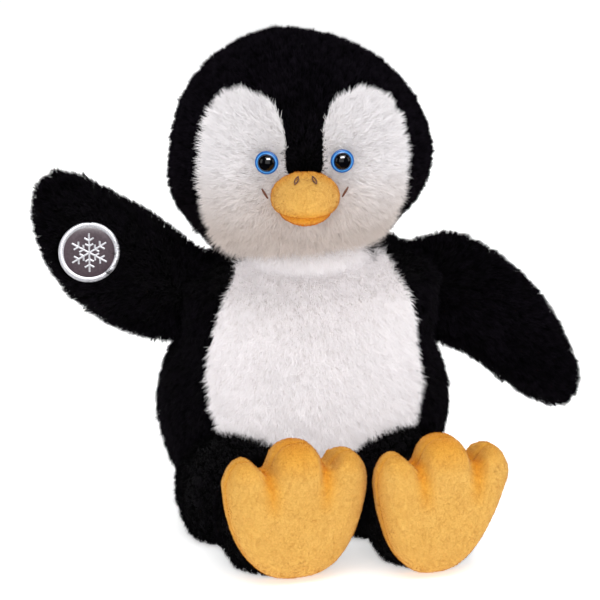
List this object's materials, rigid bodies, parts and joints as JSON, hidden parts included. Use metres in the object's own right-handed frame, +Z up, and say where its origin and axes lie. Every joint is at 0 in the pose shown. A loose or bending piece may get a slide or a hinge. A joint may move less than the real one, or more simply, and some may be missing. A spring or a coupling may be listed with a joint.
{
  "type": "plush penguin",
  "caption": "Seated plush penguin of sewn panels around stuffing, with safety eyes and a head, wings, legs, feet and tail that bend where they are sewn on.",
  "frame": {"origin": "centre of the flat seat under the body, on the surface the penguin sits on", "axes": "+Z up, the penguin faces -Y, its left wing is on +X"},
  "size_m": [0.3593, 0.2835, 0.3175],
  "materials": {
    "black_plush": "long pile plush",
    "white_plush": "long pile plush",
    "golden_minky": "short pile minky",
    "stuffing": "loose polyester fibre",
    "eye_black": "polished",
    "eye_blue": "polished",
    "washer_nylon": "moulded",
    "brown_embroidery": "satin stitch",
    "badge_silver": "metallic thread",
    "badge_mauve": "satin",
    "black_thread": "waxed",
    "label_white": "woven satin tape"
  },
  "bodies": {
    "body": {"body_stuffing": "stuffing", "body_side_left": "black_plush", "body_side_right": "black_plush", "belly_panel": "white_plush", "body_base": "black_plush", "closing_thread": "black_thread", "care_label": "label_white"},
    "neck": {"neck_stuffing": "stuffing"},
    "head": {"head_stuffing": "stuffing", "head_panel_left": "black_plush", "head_panel_right": "black_plush", "face_panel_left": "white_plush", "face_panel_right": "white_plush", "beak_upper": "golden_minky", "beak_lower": "golden_minky", "beak_stuffing": "stuffing", "nostril_stitch_left": "brown_embroidery", "nostril_stitch_right": "brown_embroidery", "smile_stitch_left": "brown_embroidery", "smile_stitch_right": "brown_embroidery", "eye_pupil_left": "eye_black", "eye_iris_left": "eye_blue", "eye_washer_left": "washer_nylon", "eye_pupil_right": "eye_black", "eye_iris_right": "eye_blue", "eye_washer_right": "washer_nylon"},
    "wing_left": {"wing_left_stuffing": "stuffing", "wing_left_front": "black_plush", "wing_left_back": "black_plush"},
    "wing_right": {"wing_right_stuffing": "stuffing", "wing_right_front": "black_plush", "wing_right_back": "black_plush", "badge_backing": "badge_silver", "badge_field": "badge_mauve", "badge_snowflake": "badge_silver"},
    "leg_left": {"leg_left_cover": "black_plush", "leg_left_stuffing": "stuffing"},
    "leg_right": {"leg_right_cover": "black_plush", "leg_right_stuffing": "stuffing"},
    "foot_left": {"foot_left_sole": "golden_minky", "foot_left_top": "golden_minky", "foot_left_stuffing": "stuffing"},
    "foot_right": {"foot_right_sole": "golden_minky", "foot_right_top": "golden_minky", "foot_right_stuffing": "stuffing"},
    "tail": {"tail_top": "black_plush", "tail_under": "black_plush", "tail_stuffing": "stuffing"}
  },
  "joints": [
    {"name": "head_turn", "type": "hinge", "parent": "body", "child": "neck", "pos_m": [0, 0, 0.175], "axis": [0, 0, 1], "range_deg": [-45, 45]},
    {"name": "head_nod", "type": "hinge", "parent": "neck", "child": "head", "pos_m": [0, 0, 0.175], "axis": [0.9936, -0.1132, 0], "range_deg": [-12, 12]},
    {"name": "wing_left_raise", "type": "hinge", "parent": "body", "child": "wing_left", "pos_m": [0.08, 0, 0.146], "axis": [0, -1, 0], "range_deg": [-8, 60]},
    {"name": "wing_right_raise", "type": "hinge", "parent": "body", "child": "wing_right", "pos_m": [-0.08, 0, 0.146], "axis": [0, 1, 0], "range_deg": [-33, 13]},
    {"name": "leg_left_swing", "type": "hinge", "parent": "body", "child": "leg_left", "pos_m": [0.046, -0.06, 0.035], "axis": [-0.9781, -0.2079, 0], "range_deg": [-30, 18]},
    {"name": "foot_left_flex", "type": "hinge", "parent": "leg_left", "child": "foot_left", "pos_m": [0.05847, -0.11869, 0.035], "axis": [-0.9781, -0.2079, 0], "range_deg": [-15, 15]},
    {"name": "leg_right_swing", "type": "hinge", "parent": "body", "child": "leg_right", "pos_m": [-0.046, -0.06, 0.035], "axis": [-0.9781, -0.2079, 0], "range_deg": [-30, 18]},
    {"name": "foot_right_flex", "type": "hinge", "parent": "leg_right", "child": "foot_right", "pos_m": [-0.03352, -0.11869, 0.035], "axis": [-0.9781, -0.2079, 0], "range_deg": [-15, 15]},
    {"name": "tail_flex", "type": "hinge", "parent": "body", "child": "tail", "pos_m": [0, 0.0755, 0.03], "axis": [1, 0, 0], "range_deg": [-8, 12]}
  ]
}
